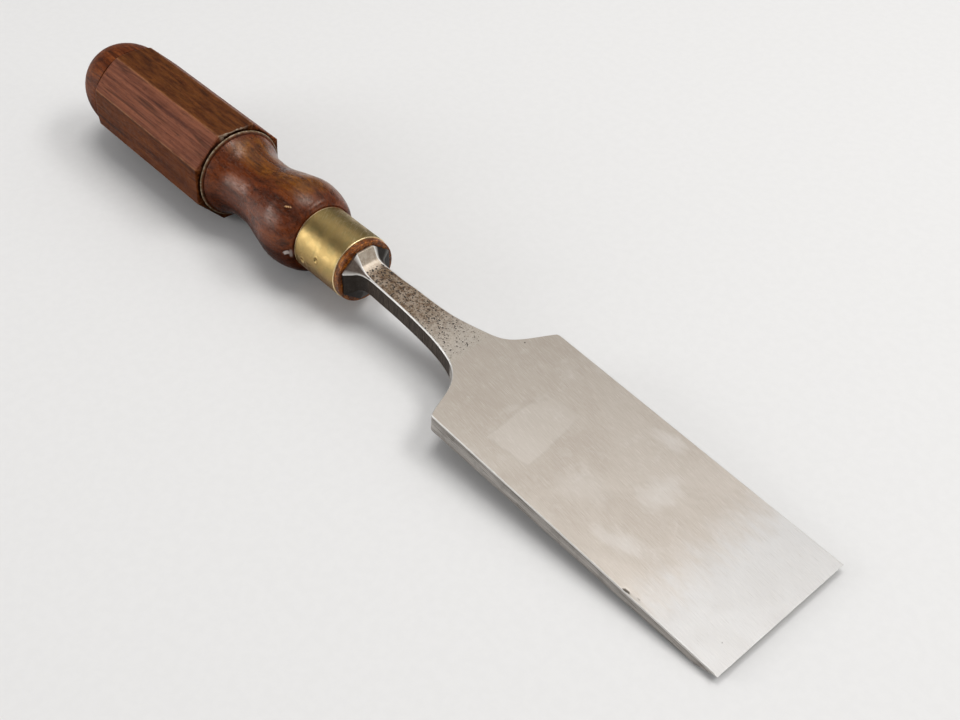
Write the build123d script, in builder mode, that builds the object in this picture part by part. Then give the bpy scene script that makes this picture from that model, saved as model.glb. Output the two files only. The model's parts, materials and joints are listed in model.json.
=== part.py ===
from build123d import *
import math
import os

# Tanged bench chisel lying on a bench, flat face up.
# Frame: +Z up, bench plane at z = 0, +X from the handle towards the cutting
# edge, +Y across the blade. The origin is on the bench, at the middle of the
# tool's length and width. Millimetres.

# ---------------------------------------------------------------- blade sizes
blade_width = 50.8
blade_length = 107.7          # shoulder to cutting edge
shoulder_thickness = 6.4
shoulder_run = 14.0           # length behind the shoulder at that thickness
heel_thickness = 3.05         # where the bevel starts
bevel_length = 6.6
edge_land = 0.06              # thickness left at the cutting edge
neck_thickness = 6.9
blade_chamfer = 0.25          # on the long edges
stock_margin = 1.0            # extra depth extruded below the neck
# Hand-filed outline behind the shoulder, left (+Y) and right (-Y) sides:
# (distance behind the shoulder, distance from the centre line)
left_curve = [(48.0, 4.4), (40.0, 4.65), (30.0, 5.3), (24.0, 6.2),
              (18.0, 7.8), (13.0, 9.35), (10.0, 10.6), (8.0, 12.0),
              (5.4, 15.2), (2.6, 20.3), (0.0, blade_width / 2)]
right_curve = [(48.0, 4.4), (40.0, 4.5), (30.0, 4.95), (22.0, 5.65),
               (15.0, 6.95), (11.5, 8.1), (8.6, 9.8), (6.3, 12.0),
               (4.2, 15.2), (2.1, 20.3), (0.0, blade_width / 2)]
neck_start, neck_half_width = left_curve[0]

# ---------------------------------------------------------------- bolster and tang sizes
bolster_face = 61.5           # rear face of the bolster behind the shoulder
bolster_apothem = 9.2
bolster_cut_across = 5.9      # corners cut off the bolster's square
bolster_cut_upright = 5.1
bolster_land = 0.8            # thickness of the rim
# Sections from the neck to the bolster rim: (distance behind the shoulder,
# half width, top, bottom, corner cut across, corner cut upright,
# lean as a fraction of the handle droop)
flare = [(neck_start - 0.4, neck_half_width, 0.0, -neck_thickness, 0.25, 0.25, 0.0),
         (53.0, 4.36, 0.0, -7.0, 0.35, 0.3, 0.1),
         (56.0, 4.6, 0.15, -7.4, 0.8, 0.6, 0.3),
         (58.3, 5.55, 0.95, -9.0, 2.1, 1.6, 0.6),
         (59.8, 7.3, 2.6, -11.8, 4.05, 3.45, 0.85)]
axis_depth = 4.86             # handle axis below the flat at the bolster face
tang_root = 8.1               # side of the square
tang_tip = 3.2
tang_length = 78.0
tang_overlap = 0.5            # run of the tang into the bolster
tang_gap = 0.1                # gap around the tang in the handle
hole_overrun = 1.0            # run of the tang hole past the tenon face and the tang tip

# ---------------------------------------------------------------- handle sizes
# Stations are measured back from the bolster face along the handle axis.
handle_droop = 4.0            # degrees, butt below the plane of the flat
washer_thickness = 2.2
washer_radius = 11.0
washer_fillet = 0.55
washer_hole = tang_root + 0.5
ferrule_length = 20.6
ferrule_radius = 11.25
ferrule_bore_radius = 10.15
ferrule_fillet = 0.3
ferrule_end = washer_thickness + ferrule_length
# Punch marks: (station, degrees round the axis from +Y towards the top)
punch_marks = [(18.4, 184.0), (11.5, 163.0)]
punch_depth = 0.42
punch_tip_radius = 0.12
punch_mouth_radius = 0.85
punch_height = 0.5            # tip to mouth of the cutting cone
tenon_radius = ferrule_bore_radius - 0.02
# Turned profile between the ferrule and the bead: (station, radius)
turned = [(ferrule_end, 11.75), (23.5, 12.8), (25.7, 14.1), (28.4, 14.95),
          (31.7, 15.5), (34.2, 15.62), (36.2, 15.4), (39.2, 14.75),
          (43.2, 13.8), (48.7, 12.4), (53.8, 11.85), (58.0, 11.9),
          (62.1, 12.4), (64.9, 13.3), (67.2, 14.4), (69.2, 15.05)]
bead_station = 70.0
bead_width = 1.4
bead_radius = 16.0
bead_foot_radius = turned[-1][1]
front_groove_radius = 14.4    # bottom of the groove between bead and grip
front_groove_slope = 0.1      # length of the groove's wall at the bead
grip_front = 71.1
grip_sides = 8
grip_half_angle = 180 / grip_sides
grip_corner_radius = 18.2     # centre to corner of the octagon
grip_end = 136.3              # where the octagon's corners stop
grip_twist = -4.8             # degrees, octagon turned about the axis
grip_chamfer = 0.4            # on the octagon's front edges
facet_lead = 0.02             # start of the facet cut ahead of the grip
facet_cut_radius = 30.0
facet_cut_length = 100.0
blank_margin = 0.6            # turned blank outside the octagon's corners
end_slope = 1.6               # length of the slope where the corners end
line_radius = 16.2            # bottom of the line scribed behind the slope
line_step = 0.3               # its depth, and the length of each half
dome_length = 21.2            # length of the superellipse that ends the grip
dome_offset = 0.7             # from the octagon's corners to where it starts
dome_radius = 16.55
dome_power = 2.4              # superellipse exponent
dome_steps = 12

# ---------------------------------------------------------------- placement
# The chisel rests on the heel of its bevel and on the lowest point of the
# handle: the fullest part of the bulb or a corner of the octagon's front end.
# The tilt of the flat follows from those two contacts.
droop = math.radians(handle_droop)
low_corner = grip_corner_radius * math.cos(math.radians(grip_half_angle + grip_twist))
heel_x = blade_length - bevel_length
heel_z = -heel_thickness
tilt = max(math.atan2(heel_z + axis_depth + station * math.sin(droop)
                      + radius * math.cos(droop),
                      heel_x + bolster_face + station * math.cos(droop)
                      - radius * math.sin(droop))
           for station, radius in turned + [(grip_front + grip_chamfer, low_corner)])

# directions: along the flat to the edge, out of the flat,
# along the handle axis to the edge, out of the handle's top
flat_dir = Vector(math.cos(tilt), 0, -math.sin(tilt))
flat_up = Vector(math.sin(tilt), 0, math.cos(tilt))
handle_dir = flat_dir * math.cos(droop) + flat_up * math.sin(droop)
handle_up = flat_up * math.cos(droop) - flat_dir * math.sin(droop)

# the butt's apex and the cutting edge lie equally far from the origin
butt_station = grip_end + dome_offset + dome_length
edge_reach = blade_length * flat_dir.X
butt_reach = (bolster_face * flat_dir.X + axis_depth * flat_up.X
              + butt_station * handle_dir.X)
lift = -(heel_x * flat_dir.Z + heel_z * flat_up.Z)
shoulder = Vector((butt_reach - edge_reach) / 2, 0, lift)
face_point = shoulder - flat_dir * bolster_face - flat_up * axis_depth

flat_plane = Plane(origin=shoulder, x_dir=flat_dir, z_dir=flat_up)
flat_side = Plane(origin=shoulder, x_dir=flat_dir, z_dir=(0, -1, 0))
handle_side = Plane(origin=face_point, x_dir=handle_dir * -1, z_dir=(0, 1, 0))
handle_axis = Axis(face_point, handle_dir * -1)


def across(station):
    """Plane square to the handle axis, normal towards the butt, local y down."""
    return Plane(origin=face_point - handle_dir * station, x_dir=(0, 1, 0),
                 z_dir=handle_dir * -1)


def cut_rectangle(half_width, top, bottom, cut, drop):
    """Closed outline of a rectangle with its corners cut off, local y down."""
    inner = half_width - cut
    return [(-inner, -top), (inner, -top),
            (half_width, -top + drop), (half_width, -bottom - drop),
            (inner, -bottom), (-inner, -bottom),
            (-half_width, -bottom - drop), (-half_width, -top + drop),
            (-inner, -top)]


def dome_points():
    """Points on the dome from the scribed line to the apex, closer near the apex."""
    first = (end_slope + 2 * line_step - dome_offset) / dome_length
    points = []
    for i in range(dome_steps + 1):
        fraction = first + (1 - first) * math.sin(math.pi / 2 * i / dome_steps)
        radius = dome_radius * max(0.0, 1 - fraction ** dome_power) ** (1 / dome_power)
        points.append((grip_end + dome_offset + dome_length * fraction, radius))
    return points


def make_blade():
    """One forging: blade, shoulders, neck, octagonal bolster and square tang."""
    stock_depth = neck_thickness + stock_margin
    with BuildPart() as blade:
        # plan outline, full thickness
        with BuildSketch(flat_plane.offset(-stock_depth)):
            with BuildLine():
                Spline(*[(-behind, half) for behind, half in left_curve])
                Polyline((0, blade_width / 2), (blade_length, blade_width / 2),
                         (blade_length, -blade_width / 2), (0, -blade_width / 2))
                Spline(*[(-behind, -half) for behind, half in right_curve])
                Line((-neck_start, neck_half_width), (-neck_start, -right_curve[0][1]))
            make_face()
        extrude(amount=stock_depth)
        # side profile: flat on top, taper and ground bevel underneath
        with BuildSketch(flat_side):
            with BuildLine():
                Polyline((-neck_start, 0), (blade_length, 0),
                         (blade_length, -edge_land), (heel_x, heel_z),
                         (0, -shoulder_thickness), (-shoulder_run, -shoulder_thickness),
                         (-neck_start, -neck_thickness), (-neck_start, 0))
            make_face()
        extrude(amount=blade_width, both=True, mode=Mode.INTERSECT)
        # narrow chamfers that take the sharpness off the long edges
        long_edges = blade.edges().filter_by(
            lambda e: abs(e.tangent_at(0.5).dot(flat_dir)) > 0.9999 and e.length > 90)
        chamfer(long_edges, blade_chamfer)
        # bolster flare: neck section growing into the octagonal rim
        for behind, half_width, top, bottom, cut, drop, lean in flare:
            angle = droop * lean
            normal = (flat_dir * math.cos(angle) + flat_up * math.sin(angle)) * -1
            with BuildSketch(Plane(origin=shoulder - flat_dir * behind,
                                   x_dir=(0, 1, 0), z_dir=normal)):
                with BuildLine():
                    Polyline(*cut_rectangle(half_width, top, bottom, cut, drop))
                make_face()
        rim = cut_rectangle(bolster_apothem, bolster_apothem, -bolster_apothem,
                            bolster_cut_across, bolster_cut_upright)
        with BuildSketch(across(-bolster_land)):
            with BuildLine():
                Polyline(*rim)
            make_face()
        loft()
        # thin eight-sided land that bears on the leather
        with BuildSketch(across(-bolster_land)):
            with BuildLine():
                Polyline(*rim)
            make_face()
        extrude(amount=bolster_land)
        # tang, tapered on all four sides
        with BuildSketch(across(-tang_overlap)):
            Rectangle(tang_root, tang_root)
        with BuildSketch(across(tang_length)):
            Rectangle(tang_tip, tang_tip)
        loft()
    return blade.part


def make_leather_washer():
    """Round washer with a square hole, between bolster and ferrule."""
    with BuildPart() as washer:
        with BuildSketch(across(0.0)):
            Circle(washer_radius)
            Rectangle(washer_hole, washer_hole, mode=Mode.SUBTRACT)
        extrude(amount=washer_thickness)
        fillet(washer.edges().filter_by(GeomType.CIRCLE), washer_fillet)
    return washer.part


def make_ferrule():
    """Tube around the tenon, with rounded outer rims."""
    with BuildPart() as ferrule:
        with BuildSketch(across(washer_thickness)):
            Circle(ferrule_radius)
            Circle(ferrule_bore_radius, mode=Mode.SUBTRACT)
        extrude(amount=ferrule_length)
        rims = [e for e in ferrule.edges().filter_by(GeomType.CIRCLE)
                if e.radius > ferrule_radius - 0.01]
        fillet(rims, ferrule_fillet)
        # centre-punch marks that lock the ferrule on the wood
        for station, degrees in punch_marks:
            angle = math.radians(degrees)
            outward = Vector(0, math.cos(angle), 0) + handle_up * math.sin(angle)
            tip = (face_point - handle_dir * station
                   + outward * (ferrule_radius - punch_depth))
            with BuildSketch(Plane(origin=tip, x_dir=handle_dir, z_dir=outward)):
                Circle(punch_tip_radius)
            with BuildSketch(Plane(origin=tip + outward * punch_height,
                                   x_dir=handle_dir, z_dir=outward)):
                Circle(punch_mouth_radius)
            loft(mode=Mode.SUBTRACT)
    return ferrule.part


def make_handle():
    """Turned wooden handle with an octagonal grip and a domed butt."""
    bead_front = bead_station - bead_width / 2
    bead_back = bead_station + bead_width / 2
    blank_radius = grip_corner_radius + blank_margin
    slope_end = grip_end + end_slope
    dome = dome_points()
    with BuildPart() as handle:
        # full revolved form: tenon, bulb, cove, bead, groove, grip blank, dome
        with BuildSketch(handle_side):
            with BuildLine():
                Polyline((washer_thickness, 0), (washer_thickness, tenon_radius),
                         (ferrule_end, tenon_radius), turned[0])
                Spline(*turned)
                Line(turned[-1], (bead_front, bead_foot_radius))
                ThreePointArc((bead_front, bead_foot_radius),
                              (bead_station, bead_radius),
                              (bead_back, bead_foot_radius))
                Polyline((bead_back, bead_foot_radius),
                         (bead_back + front_groove_slope, front_groove_radius),
                         (grip_front, front_groove_radius),
                         (grip_front, blank_radius),
                         (grip_end - blank_margin, blank_radius),
                         (grip_end, grip_corner_radius),
                         (slope_end, line_radius + line_step),
                         (slope_end + line_step, line_radius), dome[0])
                Spline(*dome, tangents=[(1, -0.01), (0, -1)],
                       tangent_scalars=(0.8, 1.0))
                Line(dome[-1], (washer_thickness, 0))
            make_face()
        revolve(axis=handle_axis)
        # eight facets planed on the grip
        with BuildSketch(across(grip_front - facet_lead)):
            Circle(facet_cut_radius)
            RegularPolygon(grip_corner_radius, grip_sides,
                           rotation=-grip_half_angle - grip_twist, mode=Mode.SUBTRACT)
        extrude(amount=facet_cut_length, mode=Mode.SUBTRACT)
        # arris taken off the octagon's front edges
        front_edges = handle.edges().filter_by(GeomType.LINE).filter_by(
            lambda e: abs((face_point - e.center()).dot(handle_dir) - grip_front) < 0.01
            and e.length > 5)
        chamfer(front_edges, grip_chamfer)
        # blind tapered square hole for the tang
        hole_root = tang_root + 2 * tang_gap
        hole_tip = tang_tip + 2 * tang_gap
        with BuildSketch(across(washer_thickness - hole_overrun)):
            Rectangle(hole_root, hole_root)
        with BuildSketch(across(tang_length + hole_overrun)):
            Rectangle(hole_tip, hole_tip)
        loft(mode=Mode.SUBTRACT)
    return handle.part


# ---------------------------------------------------------------- export
os.makedirs("parts", exist_ok=True)
for name, make in (("blade", make_blade),
                   ("leather_washer", make_leather_washer),
                   ("ferrule", make_ferrule),
                   ("handle", make_handle)):
    piece = make()
    piece.label = name
    export_step(piece, f"parts/{name}.step")
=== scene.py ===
"""Bench chisel: flared steel blade, leather washer, brass ferrule, octagonal hardwood handle.

The blade points along +x of the row frame and its flat faces up; the handle droops
slightly behind it. Shapes are written in millimetres in the blade's or the handle's own
axes, then placed in the row frame (metres) from the record's mount and the CAD boxes.
Blade axes: x from the shoulder to the tip, y to the left, z up from the flat.
Handle axes: station back from the bolster's rear face, y left, z up; angles turn from y to z.
"""
import bpy
import json
import math
import numpy as np
from mathutils import Matrix, Vector


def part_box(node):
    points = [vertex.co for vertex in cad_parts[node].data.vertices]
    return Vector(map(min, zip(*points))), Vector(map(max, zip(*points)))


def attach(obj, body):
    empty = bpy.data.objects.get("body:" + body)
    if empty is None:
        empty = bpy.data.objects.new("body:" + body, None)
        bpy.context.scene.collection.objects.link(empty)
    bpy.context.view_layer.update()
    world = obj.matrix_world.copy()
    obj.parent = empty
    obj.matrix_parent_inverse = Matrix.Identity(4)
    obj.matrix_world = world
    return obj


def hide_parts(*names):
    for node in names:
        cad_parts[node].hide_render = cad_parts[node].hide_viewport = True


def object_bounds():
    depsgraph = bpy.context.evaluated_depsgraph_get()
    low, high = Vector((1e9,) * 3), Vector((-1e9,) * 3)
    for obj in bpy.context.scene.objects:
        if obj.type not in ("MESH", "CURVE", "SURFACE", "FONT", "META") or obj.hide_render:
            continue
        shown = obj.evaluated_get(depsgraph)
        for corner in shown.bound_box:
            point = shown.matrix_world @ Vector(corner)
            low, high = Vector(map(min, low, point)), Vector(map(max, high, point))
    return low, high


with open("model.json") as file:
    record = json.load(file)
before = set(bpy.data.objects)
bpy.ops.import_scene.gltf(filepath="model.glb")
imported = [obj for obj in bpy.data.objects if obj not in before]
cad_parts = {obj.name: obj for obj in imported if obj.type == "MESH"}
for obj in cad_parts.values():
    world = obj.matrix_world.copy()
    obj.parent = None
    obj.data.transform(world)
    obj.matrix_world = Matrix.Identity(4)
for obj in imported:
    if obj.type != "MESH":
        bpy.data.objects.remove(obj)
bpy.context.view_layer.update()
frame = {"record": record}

# ------------------------------------------------------------------ placement
DROOP = math.radians(4.0)          # handle below the blade's line
BOLSTER_LENGTH = 61.5              # shoulder to the bolster's rear face
BOLSTER_DROP = 4.86                # flat down to the middle of that face

mount = frame["record"]["mounts"][0]
blade_z = np.array(mount["axis"], float)
blade_z /= np.linalg.norm(blade_z)
blade_x = np.array([blade_z[2], 0.0, -blade_z[0]])
blade_y = np.array([0.0, 1.0, 0.0])
blade_middle = np.array(mount["pos_m"], float)
blade_low, blade_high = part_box("blade")
BLADE_LENGTH = 2000.0 * (blade_high.x - blade_middle[0]) / blade_x[0]
HALF_WIDTH = 500.0 * (blade_high.y - blade_low.y)
shoulder = blade_middle - blade_x * BLADE_LENGTH / 2000.0
handle_x = blade_x * math.cos(DROOP) + blade_z * math.sin(DROOP)
handle_z = blade_z * math.cos(DROOP) - blade_x * math.sin(DROOP)
bolster_face = shoulder - blade_x * BOLSTER_LENGTH / 1000 - blade_z * BOLSTER_DROP / 1000
BLADE_AXES = np.stack([blade_x, blade_y, blade_z])
HANDLE_AXES = np.stack([-handle_x, blade_y, handle_z])


def from_blade(points):
    return shoulder + (points @ BLADE_AXES) / 1000.0


def from_handle(points):
    return bolster_face + (points @ HANDLE_AXES) / 1000.0


# ------------------------------------------------------------------ noise
def lattice(ix, iy, iz, seed):
    """Hashes whole-number cells to 0..1."""
    h = (ix * 374761393 + iy * 668265263 + iz * 1440662683 + seed * 974634777)
    h = h.astype(np.int64) & 0xffffffff
    h = ((h ^ (h >> 13)) * 1274126177) & 0xffffffff
    h = (h ^ (h >> 16)) & 0xffffffff
    return h / 4294967295.0


def noise(points, seed):
    """Smooth value noise in -1..1 at points (..., 3)."""
    cell = np.floor(points).astype(np.int64)
    part = points - cell
    part = part * part * (3 - 2 * part)
    total = 0.0
    for corner in np.ndindex(2, 2, 2):
        weight = 1.0
        for axis, step in enumerate(corner):
            weight = weight * (part[..., axis] if step else 1 - part[..., axis])
        ix, iy, iz = (cell[..., axis] + step for axis, step in enumerate(corner))
        total = total + weight * lattice(ix, iy, iz, seed)
    return total * 2 - 1


def fbm(points, seed, octaves=3):
    """Layers of noise, each twice as fine and half as strong as the last."""
    total = norm = 0.0
    for k in range(octaves):
        strength = 0.5 ** k
        total = total + strength * noise(points * 2 ** k + 17.3 * k, seed + k)
        norm += strength
    return total / norm


def smooth(start, end, value):
    t = np.clip((np.asarray(value, float) - start) / (end - start), 0, 1)
    return t * t * (3 - 2 * t)


def wrapped(angle, turn=2 * math.pi):
    """The angle brought to within half a turn of zero."""
    return (angle + turn / 2) % turn - turn / 2


# ------------------------------------------------------------------ curves
def natural_spline(points, steps=24):
    """Dense points of the natural cubic, by chord length."""
    points = np.array(points, float)
    chords = np.diff(points, axis=0)
    gap = np.linalg.norm(chords, axis=1)
    slope = chords / gap[:, None]
    count = len(points)
    system = np.zeros((count, count))
    system[0, 0] = system[-1, -1] = 1
    target = np.zeros((count, 2))
    for i in range(1, count - 1):
        system[i, i - 1:i + 2] = gap[i - 1], 2 * (gap[i - 1] + gap[i]), gap[i]
        target[i] = 6 * (slope[i] - slope[i - 1])
    bend = np.linalg.solve(system, target)
    curve = []
    for i in range(count - 1):
        for t in np.linspace(0, 1, steps, endpoint=False) * gap[i]:
            curve.append(points[i] + t * (slope[i] - gap[i] * (2 * bend[i] + bend[i + 1]) / 6)
                         + t * t * bend[i] / 2
                         + t ** 3 * (bend[i + 1] - bend[i]) / (6 * gap[i]))
    curve.append(points[-1])
    return np.array(curve)


def pchip(x, y, wanted):
    """Monotone cubic through (x, y), read at the wanted x."""
    gap = np.diff(x)
    slope = np.diff(y) / gap
    tangent = np.zeros(len(x))
    tangent[0], tangent[-1] = slope[0], slope[-1]
    for i in range(1, len(x) - 1):
        if slope[i - 1] * slope[i] > 0:
            w1, w2 = 2 * gap[i] + gap[i - 1], gap[i] + 2 * gap[i - 1]
            tangent[i] = (w1 + w2) / (w1 / slope[i - 1] + w2 / slope[i])
    k = np.clip(np.searchsorted(x, wanted) - 1, 0, len(x) - 2)
    t = (wanted - x[k]) / gap[k]
    return ((1 + 2 * t) * (1 - t) ** 2 * y[k] + t * (1 - t) ** 2 * gap[k] * tangent[k]
            + t * t * (3 - 2 * t) * y[k + 1] + t * t * (t - 1) * gap[k] * tangent[k + 1])


def rounded(points, arc=5, hold=0.08):
    """(x, y, radius) corners to a polyline with arcs and a holding point beside each."""
    line = []
    for i, (x, y, radius) in enumerate(points):
        corner = np.array([x, y], float)
        if i in (0, len(points) - 1) or radius <= 0:
            line.append(corner)
            continue
        back = np.array(points[i - 1][:2], float) - corner
        ahead = np.array(points[i + 1][:2], float) - corner
        back_length, ahead_length = np.linalg.norm(back), np.linalg.norm(ahead)
        back, ahead = back / back_length, ahead / ahead_length
        angle = math.acos(max(-1, min(1, float(back @ ahead))))
        if math.pi - angle < 0.05:
            line.append(corner)
            continue
        reach = min(radius / math.tan(angle / 2), 0.46 * back_length, 0.46 * ahead_length)
        radius = reach * math.tan(angle / 2)
        middle = back + ahead
        centre = corner + middle / np.linalg.norm(middle) * radius / math.sin(angle / 2)
        start, end = corner + back * reach - centre, corner + ahead * reach - centre
        sweep = math.atan2(start[0] * end[1] - start[1] * end[0], float(start @ end))
        if reach + hold < 0.49 * back_length:
            line.append(corner + back * (reach + hold))
        for k in range(arc + 1):
            cos, sin = math.cos(sweep * k / arc), math.sin(sweep * k / arc)
            line.append(centre + np.array([start[0] * cos - start[1] * sin,
                                           start[0] * sin + start[1] * cos]))
        if reach + hold < 0.49 * ahead_length:
            line.append(corner + ahead * (reach + hold))
    return np.array(line)


def filled(line, step):
    """Splits segments longer than step."""
    points = [line[0]]
    for a, b in zip(line[:-1], line[1:]):
        count = max(1, int(math.ceil(np.linalg.norm(b - a) / step)))
        for k in range(1, count + 1):
            points.append(a + (b - a) * k / count)
    return np.array(points)


# ------------------------------------------------------------------ meshes
def polar(station, radius, angle):
    """Points in the handle's axes."""
    return np.stack(np.broadcast_arrays(station, radius * np.cos(angle),
                                        radius * np.sin(angle)), -1)


def turned_grid(profile):
    """Station, radius and angle grids of a (station, radius) profile of rotation."""
    angles = np.linspace(0, 2 * math.pi, 289)[:-1]
    station = np.repeat(profile[:, :1], len(angles), 1)
    radius = np.repeat(profile[:, 1:], len(angles), 1)
    return station, radius, np.broadcast_to(angles, station.shape)


def ring_mesh(name, points, attributes, loop=False):
    """Skins points (rows, ring, 3) in the row frame. The ends are closed with a fan, or
    joined to each other when loop is set."""
    rows, ring = points.shape[:2]
    index = np.arange(rows * ring).reshape(rows, ring)
    beside = np.roll(index, -1, axis=1)
    quads = np.stack([index, beside, np.roll(beside, -1, axis=0),
                      np.roll(index, -1, axis=0)], -1)
    verts = points.reshape(-1, 3)
    values = {key: a.reshape(rows * ring, -1) for key, a in attributes.items()}
    tris = np.zeros((0, 3), int)
    if not loop:
        quads = quads[:-1]
        verts = np.concatenate([verts, [points[0].mean(0), points[-1].mean(0)]])
        first, last = rows * ring, rows * ring + 1
        tris = np.concatenate([
            np.stack([beside[0], index[0], np.full(ring, first)], -1),
            np.stack([index[-1], beside[-1], np.full(ring, last)], -1)])
        values = {key: np.concatenate([a, a[:ring].mean(0)[None], a[-ring:].mean(0)[None]])
                  for key, a in values.items()}
    quads = quads.reshape(-1, 4)
    # a negative volume means the faces point inwards
    a, b, c = verts[np.concatenate([quads[:, :3], quads[:, [0, 2, 3]], tris])].swapaxes(0, 1)
    if np.sum(a * np.cross(b, c)) < 0:
        quads, tris = quads[:, ::-1], tris[:, ::-1]
    mesh = bpy.data.meshes.new(name)
    mesh.from_pydata(verts.tolist(), [], quads.tolist() + tris.tolist())
    mesh.polygons.foreach_set("use_smooth", [True] * len(mesh.polygons))
    for key, a in values.items():
        kind, field = ("FLOAT", "value") if a.shape[1] == 1 else ("FLOAT_VECTOR", "vector")
        attribute = mesh.attributes.new(key, kind, "POINT")
        attribute.data.foreach_set(field, a.astype(np.float32).ravel())
    mesh.update()
    piece = bpy.data.objects.new(name, mesh)
    bpy.context.scene.collection.objects.link(piece)
    return piece


# ================================================================== handle
WASHER_THICKNESS = 2.2
FERRULE_FRONT, FERRULE_REAR = WASHER_THICKNESS, 22.8
TWIST = -4.8                       # octagon turned about the handle's axis, degrees
CORNER_RADIUS = 18.2               # axis to the octagon's sharp corners
APOTHEM = CORNER_RADIUS * math.cos(math.pi / 8)
ARRIS_RADIUS = 0.5                 # rounding of the octagon's corners at its ends
GRIP_FRONT, GRIP_REAR = 70.8, 136.3
SLOPE_LENGTH, SLOPE_RADIUS = 1.6, 16.5       # turned slope behind the facets
SLOPE_REAR = GRIP_REAR + SLOPE_LENGTH
DOME_FRONT, DOME_LENGTH, DOME_POWER = GRIP_REAR + 0.7, 21.2, 2.4
HOLE_MOUTH, HOLE_END = 1.2, 79.0   # stations between which the tang hole tapers
HOLE_ROWS, FACE_ROWS = 40, 8
# bulb and waist between ferrule and bead: station, radius
TURNED = [(22.8, 11.75), (23.5, 12.8), (25.7, 14.1), (28.4, 14.95),
          (31.7, 15.5), (34.2, 15.62), (36.2, 15.4), (39.2, 14.75),
          (43.2, 13.8), (48.7, 12.4), (53.8, 11.85), (58.0, 11.9),
          (62.1, 12.4), (64.9, 13.3), (67.2, 14.4), (69.2, 15.05)]
# groove, bead and deep groove ahead of the grip: station, radius, corner rounding
BEAD = [(69.0, 15.0, 0), (69.15, 15.02, 0.05), (69.28, 14.70, 0.08),
        (69.42, 15.15, 0.06), (69.60, 15.80, 0.2), (69.93, 16.05, 0.36),
        (70.26, 15.80, 0.2), (70.42, 15.1, 0.08), (70.50, 14.5, 0.06),
        (70.64, 14.38, 0.08), (70.8, 14.45, 0.06), (70.8, 15.2, 0)]
# softened front edge of the octagon: station behind its face, inset of the flats
GRIP_EDGE = np.array([(0.0, 1.1), (0.0, 0.72), (0.0, 0.42), (0.008, 0.33), (0.032, 0.29),
                      (0.07, 0.24), (0.16, 0.15), (0.245, 0.065), (0.30, 0.022), (0.38, 0.0)])
# scribed groove behind the slope: station, radius, corner rounding
SCRIBED = [(SLOPE_REAR, SLOPE_RADIUS, 0), (SLOPE_REAR + 0.12, SLOPE_RADIUS - 0.1, 0.05),
           (SLOPE_REAR + 0.3, 16.12, 0.1), (SLOPE_REAR + 0.52, SLOPE_RADIUS - 0.02, 0.1),
           (SLOPE_REAR + 0.9, SLOPE_RADIUS + 0.02, 0)]
# tone of each facet: partly the wood's figure, partly painted sheen and shade; the upper right
# facet is pinkest, the top one browner
FACET_TONES_AND_SHEEN = np.array([0.25, 0.45, 0.05, 1.0, 0.32, 0.1, 0.6, 0.3])


def facet_angles():
    """Ring angles, dense where the octagon's arrises are."""
    inside = np.linspace(-21.0, 21.0, 31)
    near = np.array([-21.9, -21.5, 21.5, 21.9])
    edge = 22.5 + np.linspace(-0.42, 0.42, 7)
    facet = np.sort(np.concatenate([inside, near, edge]))
    return np.radians(np.concatenate([facet + 45.0 * k + TWIST for k in range(8)]))


RING = facet_angles()


def octagon(rounding, apothem):
    """Radii round the ring of an octagon with rounded corners."""
    from_flat = wrapped(np.degrees(RING) - TWIST, 45.0)
    flat = apothem / np.cos(np.radians(from_flat))
    centre = (apothem - rounding) / math.cos(math.pi / 8)
    from_corner = np.radians(22.5 - np.abs(from_flat))
    tangent = math.pi / 8 - np.arctan2(centre * math.sin(math.pi / 8), apothem)
    root = np.sqrt(np.maximum(rounding ** 2 - (centre * np.sin(from_corner)) ** 2, 0))
    return np.where(from_corner < tangent, centre * np.cos(from_corner) + root, flat)


def square_radius(half, angles=RING):
    return half / np.maximum(np.abs(np.cos(angles)), np.abs(np.sin(angles)))


def turned_body():
    """The turned curve with points at least 0.3 mm apart."""
    curve = natural_spline(TURNED)
    kept = [curve[0]]
    for point in curve[1:]:
        if np.linalg.norm(point - kept[-1]) > 0.3:
            kept.append(point)
    kept[0] = np.array([FERRULE_REAR, 11.78])
    return np.array([point for point in kept if point[0] < 68.95])


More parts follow.
